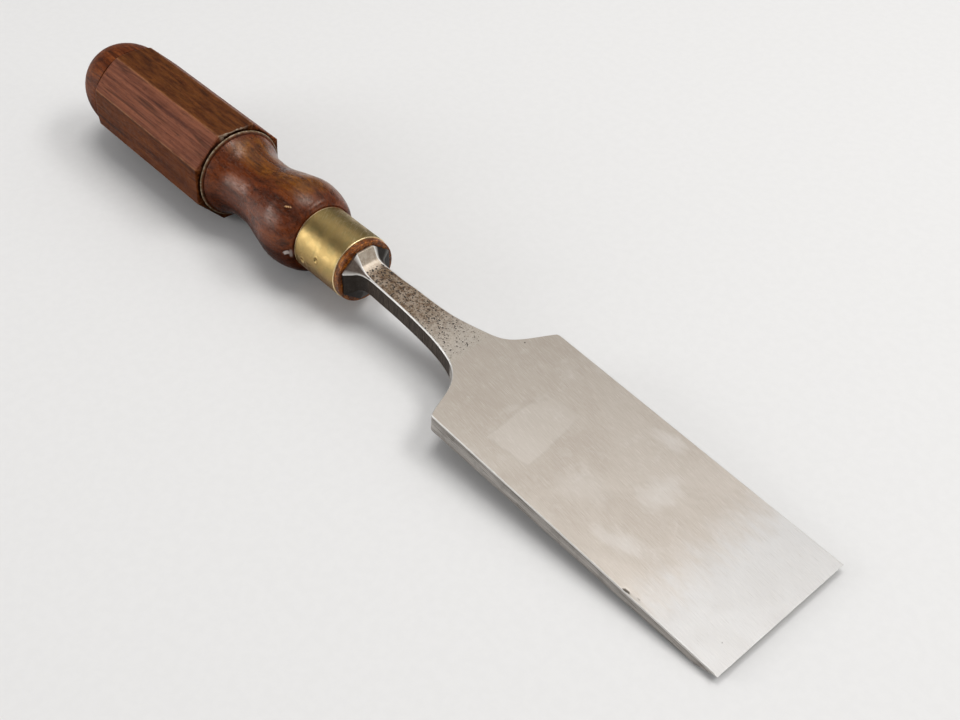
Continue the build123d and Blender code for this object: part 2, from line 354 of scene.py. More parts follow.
def handle_rows():
    """Station and radius grids, from the end of the tang hole out and back to the dome."""
    rows = []

    def spread(values):
        values = np.asarray(values, float)
        return values if values.ndim == 2 else np.repeat(values[:, None], len(RING), 1)

    def add(stations, radii):
        rows.append((spread(stations), spread(radii)))

    # blind square hole for the tang, then the front face of the tenon
    add([HOLE_END] * 2, [square_radius(0.05), square_radius(1.6)])
    hole = np.linspace(HOLE_END, 2.3, HOLE_ROWS)
    half = 4.15 + (1.7 - 4.15) * (hole - HOLE_MOUTH) / (HOLE_END - HOLE_MOUTH)
    add(hole, [square_radius(h) for h in half])
    out = np.linspace(0, 1, FACE_ROWS)[:, None]
    add([FERRULE_FRONT] * FACE_ROWS, square_radius(4.17)[None] * (1 - out) + 9.85 * out)
    # tenon under the ferrule, turned part, bead
    tenon = filled(rounded([(FERRULE_FRONT, 4.2, 0), (FERRULE_FRONT, 10.13, 0.2),
                            (FERRULE_REAR - 0.02, 10.13, 0), (FERRULE_REAR, 11.7, 0)]), 0.9)
    bead = filled(rounded(BEAD, arc=4, hold=0.05), 0.3)
    for profile in (tenon[tenon[:, 1] > 9.9], turned_body(), bead):
        add(*profile.T)
    # octagon: softened front edge, then facets whose arrises are unevenly worn
    add(GRIP_FRONT + GRIP_EDGE[:, 0],
        [octagon(ARRIS_RADIUS, APOTHEM - inset) for inset in GRIP_EDGE[:, 1]])
    end = octagon(ARRIS_RADIUS, APOTHEM)
    crease = GRIP_REAR + ((CORNER_RADIUS - end) / (CORNER_RADIUS - SLOPE_RADIUS)
                          * SLOPE_LENGTH)
    u = np.linspace(0, 1, 172)
    worn = 0.42 + 0.20 * fbm(np.outer(u, (9.0, 0.0, 0.0)), 5)
    first = GRIP_FRONT + 0.55
    station = first + u[:, None] * (crease[None] - 0.16 - first)
    radius = np.stack([octagon(w, APOTHEM) for w in worn])
    radius += 0.05 * fbm(polar(station / 14.0, 1.4, RING), 11)
    add(station, np.minimum(radius, CORNER_RADIUS - 0.02))
    # slope with scalloped front, scribed groove, dome
    k = np.array([0.02, 0.10, 0.2, 0.4, 0.6, 0.8, 0.93])[:, None]
    add(crease[None] * (1 - k) + SLOPE_REAR * k, end[None] * (1 - k) + SLOPE_RADIUS * k - 0.02)
    add(*rounded(SCRIBED, arc=3, hold=0.04).T)
    start = (SLOPE_REAR + 0.95 - DOME_FRONT) / DOME_LENGTH
    t = start + (1 - start) * np.sin(np.linspace(0, math.pi / 2, 64))
    dome = 16.55 * np.maximum(0, 1 - t ** DOME_POWER) ** (1 / DOME_POWER)
    dome[-1] = 0.12
    add(DOME_FRONT + DOME_LENGTH * t, dome)
    return [np.concatenate(grids) for grids in zip(*rows)]


def dents(station, angle):
    """Shallow dents scattered over the handle."""
    rng = np.random.default_rng(7)
    depth = np.zeros_like(station)
    for _ in range(26):
        dent_station, dent_angle = rng.uniform(26, 150), math.radians(rng.uniform(0, 360))
        radius, deepest, stretch = (rng.uniform(0.5, 1.3), rng.uniform(0.04, 0.12),
                                    rng.uniform(1, 3))
        square = (((station - dent_station) / (radius * stretch)) ** 2
                  + wrapped(angle - dent_angle) ** 2 * (16.0 / radius) ** 2)
        depth -= deepest * np.exp(-square)
    return depth


def build_handle():
    station, radius = handle_rows()
    angle = np.broadcast_to(RING, station.shape)
    shown = np.ones((len(station), 1))
    shown[:2 + HOLE_ROWS + FACE_ROWS] = 0

    def sliver(start, end, half_width):
        """Tapered streak between two (station, degrees) places on the turned wood."""
        turned = 14.0              # radius that turns angles into lengths
        way = np.array([end[0] - start[0], math.radians(end[1] - start[1]) * turned])
        place = np.stack([station - start[0],
                          wrapped(angle - math.radians(start[1])) * turned], -1)
        length = np.linalg.norm(way)
        along = place @ way / length ** 2
        across = (place[..., 0] * way[1] - place[..., 1] * way[0]) / length
        taper = half_width * np.sqrt(np.clip(1 - (2 * along - 1) ** 2, 0, 1)) + 1e-6
        return np.exp(-np.abs(across / taper) ** 2.0) * (along > 0) * (along < 1) * shown

    # a lifted splinter and a pale rub beside the ferrule, a scratch on the bulb
    splinter = sliver((25.4, 182.8), (23.6, 176.4), half_width=0.50)
    lifted = sliver((25.0, 183.4), (23.4, 179.0), half_width=0.36)
    scratch = sliver((30.4, 123.4), (27.9, 118.6), half_width=0.21)
    degrees = np.degrees(angle)
    rub = (np.exp(-((station - 23.15) / 0.42) ** 4)
           * np.exp(-(wrapped(degrees - 181.0, 360.0) / 9.5) ** 4) * shown)
    uneven = 0.03 * fbm(polar(station, radius, angle) / 7.0, 21)
    radius = radius + shown * smooth(22.9, 23.4, station) * (
        uneven + dents(station, angle) - 0.30 * splinter + 0.42 * lifted - 0.16 * scratch)

    # masks for the material
    grip = (smooth(GRIP_FRONT - 0.3, GRIP_FRONT + 0.1, station)
            * (1 - smooth(GRIP_REAR + 0.4, GRIP_REAR + 1.8, station)))
    facet = np.floor(((np.degrees(RING) - TWIST + 22.5) % 360.0) / 45.0).astype(int)
    dull = np.maximum(grip, smooth(GRIP_REAR, GRIP_REAR + 1.5, station))
    from_arris = 22.5 - np.abs(wrapped(degrees - TWIST, 45.0))
    # painted shade: the grooves and the octagon's shaded front face are marked to be coloured
    # near black
    deep = (station > 70.44) & (station < GRIP_FRONT + 0.006) & (radius < APOTHEM - 0.36)
    groove_shade = (np.exp(-((station - (SLOPE_REAR + 0.28)) / 0.26) ** 2) + 0.80 * deep
               + 0.85 * np.exp(-((station - 69.28) / 0.13) ** 2))
    # painted highlight: where the bead is coloured pale for its gloss highlight
    bead = np.exp(-((station - 69.95) / 0.40) ** 6) * (radius > 15.2)
    # upper side of the turned part
    warm = (np.exp(-(wrapped(degrees % 360 - 74, 360) / 34.0) ** 4)
            * smooth(25.0, 31, station) * (1 - smooth(66, 69, station)))
    # finish chipped off along the front edge of the upper facets
    flake = (smooth(66, 84, degrees % 360) * (1 - smooth(105, 109.5, degrees % 360))
             * (radius > APOTHEM - 0.38) * grip)
    points = polar(station, radius, angle)
    return ring_mesh("handle_wood", from_handle(points), {
        "fr": points, "tone_and_sheen": grip * FACET_TONES_AND_SHEEN[facet][None],
        "arris": grip * np.exp(-(from_arris / 1.1) ** 2), "dark": np.clip(groove_shade, 0, 1),
        "grip": grip, "dull": dull, "bead": bead, "warm": warm, "flake": flake,
        "pale": np.clip(np.maximum(splinter, lifted) + 0.55 * rub, 0, 1),
        "scratch": scratch})


# ================================================================== ferrule
FERRULE_OUTER, FERRULE_INNER = 11.25, 10.15
DINGS = [(18.4, 184.0, 0.95), (11.5, 163.0, 0.9), (18.9, 171.0, 0.4)]  # station, degrees, size


def build_ferrule():
    profile = rounded([
        (FERRULE_FRONT + 8, FERRULE_INNER, 0), (FERRULE_FRONT, FERRULE_INNER, 0.12),
        (FERRULE_FRONT, FERRULE_OUTER, 0.30), (FERRULE_REAR, FERRULE_OUTER, 0.28),
        (FERRULE_REAR, FERRULE_INNER, 0.12), (FERRULE_FRONT + 10, FERRULE_INNER, 0)],
        arc=6, hold=0.1)
    station, radius, angle = turned_grid(filled(profile, 0.16))
    outer = smooth(FERRULE_OUTER - 0.25, FERRULE_OUTER - 0.05, radius)
    waves = 0.022 * fbm(polar(station, radius, angle) / [9.0, 6.0, 6.0], 31, 2)
    marks = np.zeros_like(station)
    for ding_station, ding_degrees, size in DINGS:
        turn = wrapped(angle - math.radians(ding_degrees))
        away = np.sqrt((station - ding_station) ** 2 + (turn * FERRULE_OUTER) ** 2)
        # a pit with a raised lip
        marks += (-0.42 * size / 0.9 * np.clip(1 - away / size, 0, 1) ** 1.1
                  + 0.14 * size * np.exp(-((away - size * 1.12) / 0.24) ** 2))
    radius = radius + outer * (waves + marks) - 0.02 * outer
    points = polar(station, radius, angle)
    # painted highlight: where the rims are coloured bright
    rim_glint = (np.exp(-((station - FERRULE_FRONT) / 0.35) ** 2)
           + np.exp(-((station - FERRULE_REAR) / 0.62) ** 4))
    return ring_mesh("ferrule_brass", from_handle(points), {
        "fr": points, "rim_glint": rim_glint, "mark": np.clip(-marks / 0.3, 0, 1)}, loop=True)


# ================================================================== washer
WASHER_RADIUS = 11.0
WASHER_HOLE = 4.3                  # half width of the square hole


def build_washer():
    profile = rounded([
        (1.1, WASHER_HOLE, 0), (0.02, WASHER_HOLE, 0.1), (0.02, 10.6, 0.25),
        (0.0, WASHER_RADIUS - 0.1, 0.7), (0.55, WASHER_RADIUS, 0.4),
        (1.55, WASHER_RADIUS, 0.4), (WASHER_THICKNESS, WASHER_RADIUS - 0.1, 0.6),
        (2.18, WASHER_HOLE, 0.1), (1.1, WASHER_HOLE, 0)], arc=6, hold=0.06)
    station, radius, angle = turned_grid(filled(profile, 0.14))
    squareness = 1 - smooth(WASHER_HOLE, 8.0, radius)
    radius = radius + squareness * (square_radius(WASHER_HOLE, angle) - WASHER_HOLE)
    # two wandering seams between the layers, and a bumpy edge
    layers = (-0.05 * np.exp(-((station - 0.85 + 0.08 * np.sin(angle * 5)) / 0.10) ** 2)
              - 0.035 * np.exp(-((station - 1.45 + 0.06 * np.sin(angle * 7 + 1)) / 0.09) ** 2))
    bumps = (0.07 * fbm(polar(station, radius, angle) / 1.1, 41)
             + 0.06 * fbm(np.stack([station / 5, angle * 2.2, angle * 0], -1), 44))
    radius = radius + smooth(9.9, 10.8, radius) * (layers + bumps - 0.06)
    points = polar(np.clip(station, 0.0, WASHER_THICKNESS), radius, angle)
    # rows that fall on the next one go
    gap = np.linalg.norm(points - np.roll(points, -1, axis=0), axis=-1).max(axis=1)
    points, layers = points[gap > 1e-4], layers[gap > 1e-4]
    return ring_mesh("washer_leather", from_handle(points), {
        "fr": points, "layer": np.clip(-layers / 0.05, 0, 1)}, loop=True)


# ================================================================== blade
HEEL = BLADE_LENGTH - 6.6          # where the bevel under the tip starts
# outlines of the neck and shoulders: distance behind the shoulder, half width
LEFT = [(48.0, 4.4), (40.0, 4.65), (30.0, 5.3), (24.0, 6.2), (18.0, 7.8), (13.0, 9.35),
        (10.0, 10.6), (8.0, 12.0), (5.4, 15.2), (2.6, 20.3), (0.0, 25.4)]
RIGHT = [(48.0, 4.4), (40.0, 4.5), (30.0, 4.95), (22.0, 5.65), (15.0, 6.95), (11.5, 8.1),
         (8.6, 9.8), (6.3, 12.0), (4.2, 15.2), (2.1, 20.3), (0.0, 25.4)]
# neck swelling into the bolster: distance behind the shoulder, half width, top, bottom,
# corner cut across, corner cut upright, share of the droop
BOLSTER = np.array([(47.6, 4.4, 0.0, -6.9, 0.34, 0.34, 0.0),
                    (53.0, 4.36, 0.0, -7.0, 0.42, 0.36, 0.1),
                    (56.0, 4.6, 0.15, -7.4, 0.85, 0.65, 0.3),
                    (58.3, 5.55, 0.95, -9.0, 2.1, 1.6, 0.6),
                    (59.8, 7.3, 2.6, -11.8, 4.05, 3.45, 0.85),
                    (61.038, 9.2, 4.384, -14.016, 5.88, 5.08, 1.0)])
LAND = 9.2                         # half width of the eight-sided land
# points inside each side of a section: top, then clockwise seen from the tip's far side
COUNTS = [84, 3, 10, 3, 34, 3, 10, 3]
left_curve, right_curve = (natural_spline([(-back, half) for back, half in outline])
                           for outline in (LEFT, RIGHT))


def width(x, curve):
    half = np.where(x >= 0, HALF_WIDTH, np.interp(x, curve[:, 0], curve[:, 1]))
    return float(half - 0.5 * np.exp(-np.abs(x) / 0.38))


def slim(back):
    """The neck is a little thinner on its left side just before the bolster."""
    return 0.45 * float(smooth(40, 49, back)) * (1 - float(smooth(58.5, 60.6, back)))


def on_axis(station, half, cut=5.9, drop=5.1):
    """A section square to the handle's axis."""
    x = -BOLSTER_LENGTH - station * math.cos(DROOP)
    z = -BOLSTER_DROP - station * math.sin(DROOP)
    return (x, z, DROOP, half, half, half, -half, cut, cut, cut, drop)


def blade_sections():
    """Sections from tip to tang: x, z, lean, left, right, top, bottom, corner cuts across
    (top left, top right, bottom) and upright."""
    sections = []
    for x in np.concatenate([
            BLADE_LENGTH - np.array([0, 0.03, 0.12, 0.4]),
            np.arange(BLADE_LENGTH - 0.8, HEEL + 0.4, -0.4),
            HEEL + np.array([0.15, 0.05, 0, -0.05, -0.15, -0.4]),
            np.arange(HEEL - 1.0, 0.6, -0.55), [0.4, 0.2, 0.1, 0.0, -0.06],
            np.arange(-0.15, -8.0, -0.13), np.arange(-8.1, -47.6, -0.2)]):
        left, right = width(x, left_curve), width(x, right_curve)
        e = 0.05
        # cuts widen where an outline runs steeply across
        widen = [min(3, math.hypot(1, (width(x + e, curve) - width(x - e, curve)) / (2 * e)
                                   if x < -e else 0))
                 for curve in (left_curve, right_curve)]
        bottom = float(np.interp(x, [-48.0, -14.0, 0.0, HEEL, BLADE_LENGTH],
                                 [-6.9, -6.4, -6.4, -3.05, -0.06]))
        cut = min(0.25 + 0.09 * float(smooth(-4.0, -16.0, x)), 0.42 * -bottom)
        sections.append((x, 0.0, 0.0, left - slim(-x), right, 0.0, bottom,
                         cut * widen[0], cut * widen[1], cut, cut))
    backs = np.concatenate([np.arange(47.75, 60.9, 0.17), [60.93, 60.99]])
    columns = [pchip(BOLSTER[:, 0], column, backs) for column in BOLSTER.T[1:]]
    for back, half, top, bottom, cut, drop, lean in zip(backs, *columns):
        sections.append((-back, 0.0, DROOP * lean, half - slim(back), half, top, bottom,
                         cut, cut, cut, drop))
    # eight-sided land, the bolster's rear face, the tang: on the handle's axis
    for station, inset in ((-0.80, 0.02), (-0.72, 0), (-0.4, 0), (-0.10, 0), (-0.02, 0.03),
                           (0.0, 0.12)):
        sections.append(on_axis(station, LAND - inset))
    for half, cut, drop in ((7.0, 3.6, 3.2), (4.4, 0.3, 0.3), (4.06, 0.06, 0.06)):
        sections.append(on_axis(0.0, half, cut, drop))
    for station in np.linspace(0.3, 78.0, 42):
        half = 4.05 + (1.6 - 4.05) * (station + 0.5) / 78.5
        sections.append(on_axis(station, half, 0.06, 0.06))
    return sections


def side_points(count, length):
    """Parameters along one side of a section, closer together at its ends."""
    if count <= 4:
        return np.linspace(0, 1, count + 2)[1:-1]
    ends = np.array([0.05, 0.18, 0.45]) / max(length, 2.4)
    middle = np.linspace(ends[-1], 1 - ends[-1], count - 4)[1:-1]
    return np.concatenate([ends, middle, 1 - ends[::-1]])


def section_ring(section):
    """Points of one section and the side each lies on; 0 is the top, 2 the right,
    4 the bottom, 6 the left, odd the cuts between; halves are the rounded corners."""
    x, z, lean, left, right, top, bottom, cut_left, cut_right, cut_bottom, drop = section
    corners = np.array([
        (left - cut_left, top), (-right + cut_right, top), (-right, top - drop),
        (-right, bottom + drop), (-right + cut_bottom, bottom), (left - cut_bottom, bottom),
        (left, bottom + drop), (left, top - drop)])
    softest = 0.06 + 0.09 * float(smooth(-50.0, -56.0, x)) * float(x > -61.6)
    outline, side = [], []
    for i in range(8):
        here, after, before = corners[i], corners[(i + 1) % 8], corners[i - 1]
        length, length_before = np.linalg.norm(after - here), np.linalg.norm(here - before)
        ahead = (after - here) / max(length, 1e-9)
        back = (before - here) / max(length_before, 1e-9)
        soft = min(softest, 0.22 * length, 0.22 * length_before)
        start, end = here + back * soft, here + ahead * soft
        outline += [start, (start + end) / 2 * 0.55 + here * 0.45, end]
        side += [i - 0.5] * 3
        last = after - ahead * min(softest, 0.22 * length)
        for t in side_points(COUNTS[i], length - 2 * soft):
            outline.append(end + (last - end) * t)
            side.append(float(i))
    outline = np.array(outline)
    up = np.array([-math.sin(lean), 0.0, math.cos(lean)])
    points = np.array([x, 0.0, z]) + outline[:, :1] * np.array([0, 1.0, 0]) + outline[:, 1:] * up
    return points, np.array(side)


def pits(x, y):
    """Depth of the pits scattered along the neck, and three on the flat, 0..1."""
    rng = np.random.default_rng(19)
    depth = np.zeros_like(x)
    row_x = x[:, 0]
    for _ in range(560):
        back = rng.uniform() ** 0.85
        pit_x = -12.5 - 44.3 * back
        pit_y = rng.uniform(-1, 1) * float(np.interp(pit_x, [-60, -40, -25, -12],
                                                     [4.3, 4.4, 5.2, 8.5]))
        radius = rng.uniform(0.13, 0.29) * (0.8 + 0.4 * back)
        near = np.where(np.abs(row_x - pit_x) < 3 * radius + 0.3)[0]
        if len(near) == 0:
            continue
        rows = slice(near[0], near[-1] + 1)
        stretch = rng.uniform(0.6, 1.5)
        square = ((x[rows] - pit_x) / (radius * stretch)) ** 2 + ((y[rows] - pit_y) / radius) ** 2
        depth[rows] = np.maximum(depth[rows], np.exp(-square ** 1.3) * rng.uniform(0.5, 1.0))
    # x, y, radius, depth
    for pit_x, pit_y, radius, amount in ((84.6, -3.7, 0.30, 0.6), (102.2, -17.0, 0.34, 0.55),
                                         (-3.6, 14.9, 0.35, 0.6)):
        square = ((x - pit_x) / radius) ** 2 + ((y - pit_y) / radius) ** 2
        depth = np.maximum(depth, amount * np.exp(-square))
    return depth


def build_blade():
    rings = [section_ring(section) for section in blade_sections()]
    points = np.array([ring for ring, _ in rings])
    side = rings[0][1]
    x, y, z = np.moveaxis(points, -1, 0)
    rows = np.ones((len(points), 1))
    top = (side == 0) * rows
    upright = ((side == 2) | (side == 6)) * rows
    shown = (x > -61.4).astype(float)
    # gentle unevenness of the flat, dying out at its edges
    wave = 0.018 * fbm(np.stack([x / 24, y / 16, z * 0], -1), 61, 2)
    inside = smooth(0.1, 1.2, HALF_WIDTH - np.abs(y)) * smooth(0, 3, BLADE_LENGTH - x)
    pit = pits(x, y) * top * shown
    # nick and scratch beside the right edge
    dent = ((x - 76.4) / 1.35) ** 2 + ((y + 24.62 - 0.22 * (x - 76.4)) / 0.42) ** 2
    scratch = (np.exp(-(((y + 24.6 - (x - 76.1) * 0.14) / 0.16) ** 2))
               * smooth(75.5, 77.0, x) * (1 - smooth(80.0, 82.0, x)))
    nick = (np.clip(np.exp(-dent ** 1.6) + 0.55 * scratch, 0, 1)
            * smooth(-2.2, -0.3, z) * shown)
    neck_wave = (0.05 * fbm(np.stack([x / 5, y / 3.5, z / 3.5], -1), 71)
                 * smooth(-16, -26, x) * shown * (x > -60.9))
    lift = top * inside * wave * (x > -1) - top * 0.055 * pit - 0.16 * nick
    points = points + np.stack([np.zeros_like(lift), neck_wave * np.sign(y) * upright * 0.8,
                                lift + neck_wave * top * 0.6], -1)

    # masks for the material: zone holds the sides, the neck and the bevel
    ragged = 0.8 * fbm(np.stack([y / 1.5, y * 0, x / 9], -1), 77)
    zone = np.stack([upright, smooth(-11.2, -12.6, x + ragged + 0.12 * y),
                     smooth(HEEL - 0.3, HEEL + 0.1, x) * (z < -0.02)], -1)
    # cut sides, later coloured bright as a painted highlight
    cuts = (((side > 0) & (side < 2)) | (side > 6) | (side < 0)) * rows

    def by_side(table, default):
        return np.array([table.get(float(number), default) for number in side])[None]

    # lit: weights of the painted highlight on the bolster's corners
    lit = by_side({-0.5: 0.85, 0.5: 1.0, 1.5: 0.8, 6.5: 0.15}, 0.0)
    # shade: weights of the painted shade and scale from forging for each side
    shade = by_side({0.0: 0.0, 1.0: 1.0, 7.0: 0.8, 0.5: 0.6, -0.5: 0.6, 1.5: 0.6}, 0.35)
    return ring_mesh("blade_steel", from_blade(points), {
        "fr": points, "zone": zone, "pit": pit, "nick": nick, "edge_glint": cuts,
        "corner": lit * smooth(-52.5, -55.5, x) * shown,
        "flank_scale_and_shade": shade * smooth(-53.0, -56.0, x)})


# ================================================================== materials
class Value:
    """A node's output; operators and methods on it add further nodes."""

    def __init__(self, shader, socket):
        self.shader = shader
        self.socket = socket

    def __add__(self, other):
        return self.shader.math("ADD", self, other)

    def __sub__(self, other):
        return self.shader.math("SUBTRACT", self, other)

    def __rsub__(self, other):
        return self.shader.math("SUBTRACT", other, self)

    def __mul__(self, other):
        return self.shader.math("MULTIPLY", self, other)

    def __truediv__(self, other):
        return self.shader.math("DIVIDE", self, other)

    def __abs__(self):
        return self.shader.math("ABSOLUTE", self)

    def max(self, other):
        return self.shader.math("MAXIMUM", self, other)

    def clamped(self):
        self.socket.node.use_clamp = True
        return self

    def split(self):
        x = self.shader.node("ShaderNodeSeparateXYZ", {0: self})
        return [Value(self.shader, socket) for socket in x.socket.node.outputs]

    def noise(self, scale=1.0, detail=2.0, rough=0.5, distortion=0.0, output=0):
        return self.shader.node("ShaderNodeTexNoise", {
            "Vector": self, "Scale": scale, "Detail": detail, "Roughness": rough,
            "Distortion": distortion}, output)

    def fade(self, over, low=0.0, high=1.0, interpolation="SMOOTHSTEP"):
        """Goes from low to high as this value crosses the span."""
        return self.shader.node("ShaderNodeMapRange", {
            0: self, 1: over[0], 2: over[1], 3: low, 4: high},
            interpolation_type=interpolation)

    def between(self, low, high):
        """Two colours mixed by this value."""
        return self.shader.mix(self, low, high)

    def coat(self, colour, amount):
        """This colour covered with another."""
        return self.shader.mix(amount, self, colour)

    def shaded(self, by):
        return self.shader.mix(1.0, self, by, "MULTIPLY")

    def ramp(self, stops):
        result = self.shader.node("ShaderNodeValToRGB", {0: self})
        elements = result.socket.node.color_ramp.elements
        while len(elements) < len(stops):
            elements.new(0.5)
        for element, (position, colour) in zip(elements, stops):
            element.position = position
            element.color = (*colour, 1)
        return result

    def bump(self, distance, strength):
        return self.shader.node("ShaderNodeBump", {
            "Height": self, "Distance": distance, "Strength": strength})


class Shader:
    """A material's node tree."""

    def __init__(self, name):
        self.material = bpy.data.materials.new(name)
        self.material.use_nodes = True
        self.tree = self.material.node_tree
        self.tree.nodes.clear()

    def node(self, kind, inputs=None, output=0, **settings):
        node = self.tree.nodes.new(kind)
        for key, value in settings.items():
            setattr(node, key, value)
        for key, value in (inputs or {}).items():
            socket = node.inputs[key]
            if isinstance(value, Value):
                self.tree.links.new(value.socket, socket)
            else:
                socket.default_value = (*value, 1) if socket.type == "RGBA" else value
        return Value(self, node.outputs[output])

    def math(self, operation, *terms):
        is_vector = any(isinstance(term, tuple) or
                        isinstance(term, Value) and term.socket.type == "VECTOR"
                        for term in terms)
        kind = "ShaderNodeVectorMath" if is_vector else "ShaderNodeMath"
        return self.node(kind, dict(enumerate(terms)), operation=operation)

    def mix(self, amount, low, high, blend="MIX"):
        return self.node("ShaderNodeMix", {0: amount, 6: low, 7: high}, 2,
                         data_type="RGBA", blend_type=blend)

    def attr(self, name, output="Fac"):
        return self.node("ShaderNodeAttribute", output=output, attribute_name=name)

    def vector(self, x, y, z=0.0):
        return self.node("ShaderNodeCombineXYZ", {0: x, 1: y, 2: z})

    def facing_up(self, over, dark):
        """1 where a surface faces up, falling to dark where it faces the bench."""
        normal = self.node("ShaderNodeNewGeometry", output="Normal")
        return normal.split()[2].fade(over, low=dark)

    def principled(self, **inputs):
        return self.node("ShaderNodeBsdfPrincipled", {
            key.replace("_", " "): value for key, value in inputs.items()})

    def finish(self, surface):
        output = self.tree.nodes.new("ShaderNodeOutputMaterial")
        self.tree.links.new(surface.socket, output.inputs[0])
        return self.material


# Factors on a position stretch a pattern (per mm); factors on masks are their weights.
def wood():
    mat = Shader("hardwood_varnished")
    point = mat.attr("fr", "Vector")
    # grain runs along the handle and wanders a little
    wander = (point * (0.018, 0.05, 0.05)).noise(output=1) + (-0.5, -0.5, -0.5)
    grain = point * (0.022, 1.0, 1.0) + wander * (0.0, 4.0, 4.0)
    broad = grain.noise(scale=0.20, detail=3, rough=0.55, distortion=0.4)
    streak = grain.noise(scale=0.75, detail=4, rough=0.62, distortion=0.5)
    fibre = (point * (0.09, 2.6, 2.6)).noise(detail=3, rough=0.6)
    mottle = (point * (0.115, 0.55, 0.55)).noise(detail=5, rough=0.66, distortion=0.35)
    plane = (point * (0.016, 0.95, 0.95) + (5.0, 0.0, 0.0)).noise(detail=5, rough=0.68)
    grip = mat.attr("grip")
    tone_and_sheen = mat.attr("tone_and_sheen")
    base = (broad * 0.40 + streak * 0.45 + fibre * 0.22 + tone_and_sheen * 0.035).ramp([
        (0.36, (0.022, 0.0040, 0.0007)), (0.46, (0.064, 0.0122, 0.0020)),
        (0.55, (0.125, 0.0270, 0.0048)), (0.65, (0.210, 0.0560, 0.0130)),
        (0.78, (0.300, 0.1000, 0.0320))])
    # golden upper side of the turned part
    gold = mottle.fade(over=(0.36, 0.64)).between((0.090, 0.032, 0.0036),
                                                  (0.275, 0.108, 0.0090))
    base = base.coat(gold, mat.attr("warm") * broad.fade(over=(0.38, 0.54), low=0.30, high=0.95))
    # browner and mottled where the tone is low, pinker where it is high: partly the wood's
    # figure, partly painted sheen on the facet toward the side light
    brown = mottle.fade(over=(0.34, 0.66)).between((0.030, 0.0080, 0.0010),
                                                   (0.120, 0.040, 0.0065))
    base = base.coat(brown, tone_and_sheen.fade(over=(0.60, 0.0), high=0.72) * grip)
    pink = plane.fade(over=(0.30, 0.66)).between((0.085, 0.0250, 0.0160),
                                                 (0.248, 0.088, 0.049))
    base = base.coat(pink, tone_and_sheen.fade(over=(0.5, 1.0), high=0.80))
    # dark pores in short lines along the grain, silky flecks, wide dark bands
    pore = (point * (0.30, 7.5, 7.5)).noise().fade(over=(0.595, 0.675))
    base = base.coat((0.020, 0.0055, 0.0015), pore * 0.66)
    silk = (point * (0.22, 6.0, 6.0) + (3.0, 0.0, 0.0)).noise(detail=3, rough=0.6)
    base = base.coat((0.330, 0.130, 0.052), silk.fade(over=(0.56, 0.68), high=0.22))
    wide = (point * (0.035, 0.55, 0.55)).noise(distortion=0.8)
    base = base.coat((0.028, 0.0075, 0.0028), wide.fade(over=(0.55, 0.70), high=0.62))
    # handled wood: worn lighter arrises
    rub = (point * (0.20, 0.9, 0.9)).noise(detail=3, rough=0.6)
    base = base.coat((0.300, 0.125, 0.052),
                     mat.attr("arris") * rub.fade(over=(0.35, 0.62), low=0.15, high=0.65))
    # painted shade: darker where the wood faces the bench; and a warmer cast on the glossy turned
    # part
    base = base.shaded(mat.facing_up(over=(-0.60, 0.32), dark=0.30))
    base = base.shaded(mat.attr("dull").between((0.86, 0.735, 0.60), (1.0, 0.985, 0.97)))
    # painted highlight: the bead is coloured pale in place of its gloss highlight; painted shade:
    # the grooves beside it are black
    bead_highlight_colour = rub.fade(over=(0.42, 0.60)).between((0.150, 0.105, 0.050),
                                                    (0.350, 0.278, 0.195))
    base = base.coat(bead_highlight_colour, mat.attr("bead") * 0.85)
    # painted shade: the grooves and the octagon's front face are coloured near black
    dark = mat.attr("dark")
    base = base.coat((0.0055, 0.0022, 0.0010), dark * 0.95)
    # ragged chips along the front edge of the grip
    chips = (point * (0.5, 0.33, 0.33)).noise(detail=4, rough=0.6)
    chipped = (point.split()[0] + (chips + -0.5) * -1.2).fade(
        over=(GRIP_FRONT + 0.24, GRIP_FRONT + 0.08))
    base = base.coat((0.36, 0.29, 0.215), chipped * mat.attr("flake")
                     * rub.fade(over=(0.36, 0.52), low=0.35, high=0.9))
    # bare wood in the splinter and the scratch
    base = base.coat((0.47, 0.41, 0.38), mat.attr("pale").fade(over=(0.25, 0.75), high=0.92))
    base = base.coat((0.70, 0.42, 0.20), mat.attr("scratch").fade(over=(0.2, 0.7), high=0.9))
    relief = fibre * 0.5 + pore * -0.9 + streak * 0.6
    # glossy turned part, duller grip, matt grooves and underside
    scuff = (point * (0.5, 0.5, 0.5)).noise(detail=4, rough=0.6)
    rough_turned = (scuff + (fibre + -0.5) * 0.5).fade(over=(0.3, 0.7), low=0.21, high=0.38)
    rough_grip = scuff.fade(over=(0.3, 0.7), low=0.42, high=0.58)
    rough = mat.node("ShaderNodeMix", {0: mat.attr("dull"), 2: rough_turned, 3: rough_grip},
                     data_type="FLOAT")
    gloss = ((0.50 - mat.attr("dull") * 0.33) * (1.0 - dark * 0.9)
             * mat.facing_up(over=(-0.20, 0.50), dark=0.06))
    return mat.finish(mat.principled(
        Base_Color=base, Roughness=(rough + dark * 0.4).clamped(),
        Normal=relief.bump(distance=0.000055, strength=0.75), IOR=1.5,
        Specular_IOR_Level=gloss, Specular_Tint=(1.0, 0.80, 0.68)))


